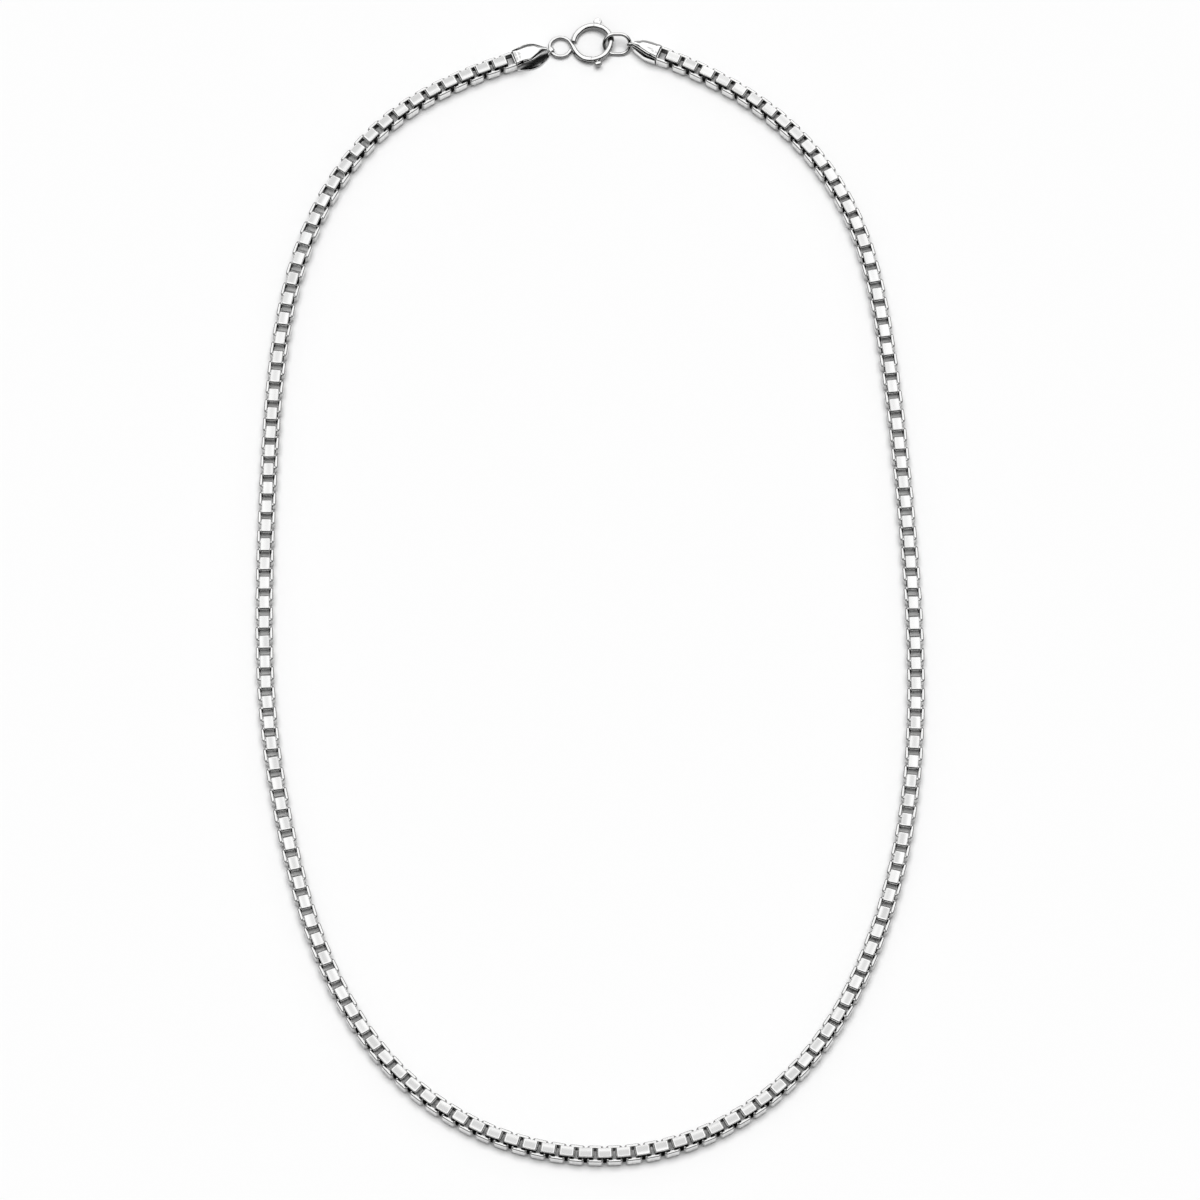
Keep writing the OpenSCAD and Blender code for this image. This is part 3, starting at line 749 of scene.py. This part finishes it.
def boxLink():
    # One box link round its own middle, axis along Y: a strip of six sides carried round a
    # rounded square of sixteen steps. Returns points, quads, corner normals and the painted
    # shade of a lying and of an upright link.
    half, thick, edge = chain["strip"] / 2, chain["thick"], chain["edgeRound"]
    bend = chain["innerBend"]
    corner = chain["width"] / 2 - thick - bend
    # across the strip, height above the inner face: side 0 is the outer face, 1 and 5 are its
    # rounded edges, 2 and 4 the flanks and 3 the inner face
    profile = np.array([
        [-half + edge, thick], [half - edge, thick], [half, thick - edge],
        [half, 0], [-half, 0], [-half, thick - edge],
    ])
    edges, flanks = [1, 5], [2, 4]
    steps, sides = 16, len(profile)
    quarter, place = np.divmod(np.arange(steps), 4)  # three bends and a straight in each quarter
    turn = np.radians(quarter * 90 + place * 30)
    out = np.stack([np.cos(turn), np.zeros(steps), np.sin(turn)], -1)
    signs = np.array([[1, 1], [-1, 1], [-1, -1], [1, -1]])[quarter] * corner
    centre = np.stack([signs[:, 0], np.zeros(steps), signs[:, 1]], -1)
    side = np.array([0.0, 1.0, 0.0])
    points = (
        centre[:, None] + out[:, None] * (bend + profile[None, :, 1:]) + side * profile[None, :, :1]
    )
    points[..., 0] *= chain["length"]
    i, j = np.meshgrid(np.arange(steps), np.arange(sides), indexing="ij")
    ni, nj = (i + 1) % steps, (j + 1) % sides
    quads = [i * sides + j, i * sides + nj, ni * sides + nj, ni * sides + j]
    # normals at the start and end of each side of the profile: outwards share, sideways share
    crown, edgeCrown = math.radians(chain["crown"]), math.radians(chain["edgeCrown"])
    c, s = math.cos(crown), math.sin(crown)
    d, r = math.cos(edgeCrown), math.sin(edgeCrown)
    starts = np.array([[c, -s], [c, s], [r, d], [-1, 0], [-r, -d], [r, -d]])
    ends = np.array([[c, s], [r, d], [-r, d], [-1, 0], [r, -d], [c, -s]])

    def normal(step, share):
        # Outwards share of the step's own direction, and sideways share of the strip's
        return out[step] * share[..., :1] + side * share[..., 1:]

    def spread(values):
        # A value for each step, on the four corners of each quad
        return np.stack([values[i], values[i], values[ni], values[ni]], -1)

    ways = [normal(i, starts[j]), normal(i, ends[j]), normal(ni, ends[j]), normal(ni, starts[j])]
    # all links have painted shade inside and on the bends
    lying = spread(np.array(chain["bendPaintedShade"])[place])
    lying[:, 3] = 1
    standing = lying.copy()
    # a lying link has painted shade on its flanks at the corners, on its edges and a little outside
    corners = spread(np.array([0, 1, 1, 0])[place] * chain["cornerPaintedShade"])
    lying[:, flanks] = np.maximum(lying[:, flanks], corners[:, flanks])
    lying[:, edges] = np.maximum(lying[:, edges], chain["edgePaintedShade"])
    lying[:, 0] = np.maximum(lying[:, 0], chain["sidePaintedShade"])
    # an upright link has painted shade on its flanks and down its ends, the straights of steps 7 and
    # 15
    standing[:, flanks] = np.maximum(standing[:, flanks], chain["flankPaintedShade"])
    standing[place < 3, 0] *= chain["uprightBend"]
    high, low = chain["endPaintedShade"]
    standing[7, 0] = [high, high, low, low]
    standing[15, 0] = [low, low, high, high]
    return (
        points.reshape(-1, 3), np.stack(quads, -1).reshape(-1, 4),
        np.stack(ways, 2).reshape(-1, 3), np.stack([lying, standing]).reshape(2, -1),
    )


def turned(vectors, frames):
    # Vectors (n, 3) written in each of m frames (m, 3, 3) of row axes: m by n by 3
    return np.einsum("nk,mkc->mnc", vectors, frames)


def makeChain(material):
    # Joined copies of the box link, each turned to its place by its own three axes and lifted
    # so that nothing reaches below the floor
    points, quads, corners, inner = boxLink()
    middle, way, numbers = linkPlaces()
    dice = np.random.default_rng(chain["seed"])
    count = len(numbers)
    yaw, roll, tilt = (
        np.radians(chain[key] * dice.uniform(-1, 1, count)) for key in ("yaw", "roll", "tilt")
    )
    lying = numbers % 2 == 0
    heading = np.arctan2(way[:, 1], way[:, 0]) + yaw
    level = np.cos(tilt)
    along = np.stack([np.cos(heading) * level, np.sin(heading) * level, np.sin(tilt)], -1)
    flat = np.stack([-np.sin(heading), np.cos(heading), np.zeros(count)], -1)
    above = np.cross(along, flat)
    across = flat * np.cos(roll)[:, None] + above * np.sin(roll)[:, None]
    upward = np.cross(along, across)
    axis = np.where(lying[:, None], -upward, across)
    third = np.where(lying[:, None], across, upward)
    frames = np.stack([along, axis, third], 1)
    drop = chain["drop"] * dice.uniform(chain["leastDrop"], 1, count)
    height = chain["width"] / 2 - np.where(lying, drop, 0)
    places = np.concatenate([middle, height[:, None]], -1)
    tone = dice.uniform(0, 1, count)
    for name, node, chosen in (
        ("chainRight", "chain_right", numbers < chain["links"] // 2),
        ("chainLeft", "chain_left", numbers >= chain["links"] // 2),
    ):
        part = turned(points, frames[chosen]) + places[chosen][:, None]
        part[..., 2] -= np.minimum(part[..., 2].min(axis=1), 0)[:, None]
        faces = quads[None] + (np.arange(len(part)) * len(points))[:, None, None]
        # inner carries the painted shade, and tone a random tone for each link
        values = {
            "inner": inner[np.where(lying[chosen], 0, 1)],
            "tone": np.repeat(tone[chosen], quads.size),  # each link's own number
        }
        putMesh(
            name, part.reshape(-1, 3), faces.reshape(-1, 4), material, hardBody, [node],
            turned(corners, frames[chosen]), values,
        )


# Finish

class Wire:
    # Wraps a node's output, so that sums and products of wires and numbers add Math nodes

    def __init__(self, tree, output=None):
        self.tree = tree
        self.output = output

    def node(self, kind, settings, values, output=0):
        # Adds a node: its type, its settings, then its sockets' values or links by name or place
        node = self.tree.nodes.new(kind)
        for key, value in settings.items():
            setattr(node, key, value)
        for key, value in values.items():
            if isinstance(value, Wire):
                self.tree.links.new(value.output, node.inputs[key])
            else:
                node.inputs[key].default_value = value
        return Wire(self.tree, node.outputs[output])

    def math(self, operation, first, second):
        # Math node on two wires or numbers
        return self.node("ShaderNodeMath", {"operation": operation}, {0: first, 1: second})

    def __add__(self, other):
        return self.math("ADD", self, other)

    def __radd__(self, other):
        return self.math("ADD", other, self)

    def __mul__(self, other):
        return self.math("MULTIPLY", self, other)

    def __rmul__(self, other):
        return self.math("MULTIPLY", other, self)

    def noise(self, scale, detail):
        # Noise over the place that this wire carries
        values = {"Vector": self, "Scale": scale, "Detail": detail}
        return self.node("ShaderNodeTexNoise", {}, values, "Fac")

    def dot(self, direction):
        # Dot product with a fixed direction
        values = {0: self, 1: direction}
        return self.node("ShaderNodeVectorMath", {"operation": "DOT_PRODUCT"}, values, "Value")

    def ramp(self, low, high, start=0.0, end=1.0):
        # Smooth step from start below low to end above high
        values = {"Value": self, "From Min": low, "From Max": high, "To Min": start, "To Max": end}
        return self.node("ShaderNodeMapRange", {"interpolation_type": "SMOOTHSTEP"}, values)


silverLook = {
    "colour": (0.94, 0.94, 0.935, 1),
    # the colour that the painted shade turns the silver to
    "shade": (0.05, 0.05, 0.05, 1),
    "paintedShade": 0.96,  # share of the shade colour where the painted shade is full
    "roughness": 0.06,
    "innerRough": 0.22,  # more roughness where the painted shade is full
    "haze": 0.05,  # how much the haze changes the roughness and the colour
    "variety": 0.03,  # how much they differ from link to link
    "hazeNoise": (900.0, 3.0),  # scale and detail
    "scratchNoise": (9000.0, 2.0),
    "scratch": 0.02,
    "scratchDepth": 0.00002,  # metres
}


def silverFinish(name):
    # Polished silver: duller and darker where shade is painted, with faint haze and fine
    # scratches. Colour = mix of colour and shade by a sum of painted shade, haze and link.
    material = bpy.data.materials.new(name)
    material.use_nodes = True
    tree = material.node_tree
    shader = tree.nodes["Principled BSDF"]
    shader.inputs["Metallic"].default_value = 1
    start = Wire(tree)
    place = start.node("ShaderNodeTexCoord", {}, {}, "Object")
    # inner is the painted shade on each mesh, and tone each link's random tone
    inner, tone = (
        start.node("ShaderNodeAttribute", {"attribute_name": label}, {}, "Fac")
        for label in ("inner", "tone")
    )
    haze, fine = place.noise(*silverLook["hazeNoise"]), place.noise(*silverLook["scratchNoise"])
    faint = haze * silverLook["haze"] + tone * silverLook["variety"]
    rough = silverLook["roughness"] + inner * silverLook["innerRough"] + faint
    dark = inner * silverLook["paintedShade"] + faint
    colour = start.node(
        "ShaderNodeMix", {"data_type": "RGBA"},
        {0: dark, 6: silverLook["colour"], 7: silverLook["shade"]}, 2,
    )
    relief = {
        "Height": fine, "Strength": silverLook["scratch"], "Distance": silverLook["scratchDepth"],
    }
    bump = start.node("ShaderNodeBump", {}, relief)
    tree.links.new(rough.output, shader.inputs["Roughness"])
    tree.links.new(colour.output, shader.inputs["Base Color"])
    tree.links.new(bump.output, shader.inputs["Normal"])
    return material


# Floor and light

stageLook = {
    "floor": 0.92,
    "rough": 0.9,
    "reach": 4000,  # the floor's, to each side
    "key": (2.40, 46, 9),  # strength, width in degrees, tilt towards the back
    "fill": (1.00, 150, 0),
}
skyLook = {
    "top": 1.12,
    "topFront": 34,  # the overhead light reaches this many degrees before the zenith
    "topBack": 58,  # and this many behind it
    "topSide": (0.62, 0.72),  # it ends between these sideways shares of the direction
    "soft": 0.04,  # half the width of its edges at the front and the back
    "spot": (0.0, 0.325, 0.946),  # dim patch above the back, which flat plates mirror
    "spotReach": (6, 2.5),  # degrees from its middle where it starts and where it is full
    "spotDepth": 0.36,
    "corner": (-0.06, 0.52, 0.85),  # dim patch towards the back left corner
    "cornerReach": (7.5, 3.5),
    "cornerDepth": 0.36,
    "lensReach": (8, 5),  # the dark camera, seen in what faces it
    "lensDepth": 0.4,
    "left": 0.04,
    "right": 0.02,
    "sideFade": (0.3, 0.8),  # shares of the direction between which a side grows bright
    "back": 0.36,
    "backFade": (0.5, 0.85),
}


def makeStage():
    # One flat sheet of paper under the necklace, and two suns straight above or a little tilted
    reach = stageLook["reach"] * mm
    mesh = bpy.data.meshes.new("floor")
    corners = [(-reach, -reach, 0), (reach, -reach, 0), (reach, reach, 0), (-reach, reach, 0)]
    mesh.from_pydata(corners, [], [(0, 1, 2, 3)])
    floor = bpy.data.objects.new("floor", mesh)
    bpy.context.scene.collection.objects.link(floor)
    paper = bpy.data.materials.new("paper")
    paper.use_nodes = True
    shader = paper.node_tree.nodes["Principled BSDF"]
    shader.inputs["Base Color"].default_value = (stageLook["floor"],) * 3 + (1,)
    shader.inputs["Roughness"].default_value = stageLook["rough"]
    shader.inputs["Specular IOR Level"].default_value = 0.0
    mesh.materials.append(paper)
    # the lamps light the floor alone, and the metal shows the sky
    for name in ("key", "fill"):
        strength, width, tilt = stageLook[name]
        lamp = bpy.data.lights.new(name, "SUN")
        lamp.energy = strength
        lamp.angle = math.radians(width)
        sun = bpy.data.objects.new(name, lamp)
        sun.rotation_euler = (-math.radians(tilt), 0, 0)
        sun.visible_glossy = False
        bpy.context.scene.collection.objects.link(sun)


def makeSky():
    # A wide light overhead, grey behind, dark in front and dim at the sides, seen in the metal
    # alone. Strength = sides + top times each patch's share of light.
    world = bpy.data.worlds.new("studio")
    bpy.context.scene.world = world
    world.cycles_visibility.diffuse = False
    world.use_nodes = True
    tree = world.node_tree
    way = Wire(tree).node("ShaderNodeTexCoord", {}, {}, "Generated")
    front, back = math.radians(skyLook["topFront"]), math.radians(skyLook["topBack"])
    soft = skyLook["soft"]
    top = (
        way.dot((0, math.cos(front), math.sin(front))).ramp(-soft, soft, 0, skyLook["top"])
        * way.dot((0, -math.cos(back), math.sin(back))).ramp(-soft, soft)
        * way.dot((1, 0, 0)).ramp(*skyLook["topSide"], 1, 0)
        * way.dot((-1, 0, 0)).ramp(*skyLook["topSide"], 1, 0)
    )
    up = math.radians(cameraView["elevation"])
    dim = 1.0
    lens = (0, -math.cos(up), math.sin(up))
    for name, middle in (("spot", skyLook["spot"]), ("corner", skyLook["corner"]), ("lens", lens)):
        outer, inner = (math.cos(math.radians(angle)) for angle in skyLook[name + "Reach"])
        near = way.dot(Vector(middle).normalized())
        dim = near.ramp(outer, inner, 1, 1 - skyLook[name + "Depth"]) * dim
    sides = (
        way.dot((-1, 0, 0)).ramp(*skyLook["sideFade"], 0, skyLook["left"])
        + way.dot((1, 0, 0)).ramp(*skyLook["sideFade"], 0, skyLook["right"])
        + way.dot((0, 1, 0)).ramp(*skyLook["backFade"], 0, skyLook["back"])
    )
    light = sides + top * dim
    tree.links.new(light.output, tree.nodes["Background"].inputs["Strength"])
    tree.nodes["Background"].inputs["Color"].default_value = (1, 1, 1, 1)


addCamera()
silver = silverFinish("silver")
makeChain(silver)
makeCaps(silver)
makeClaspRing(silver)
makeBolt(silver)
makeJumpRing(silver)
makeStage()
makeSky()
print("stage and light set")

view = bpy.context.scene.view_settings
view.view_transform = "Standard"
view.look = "None"
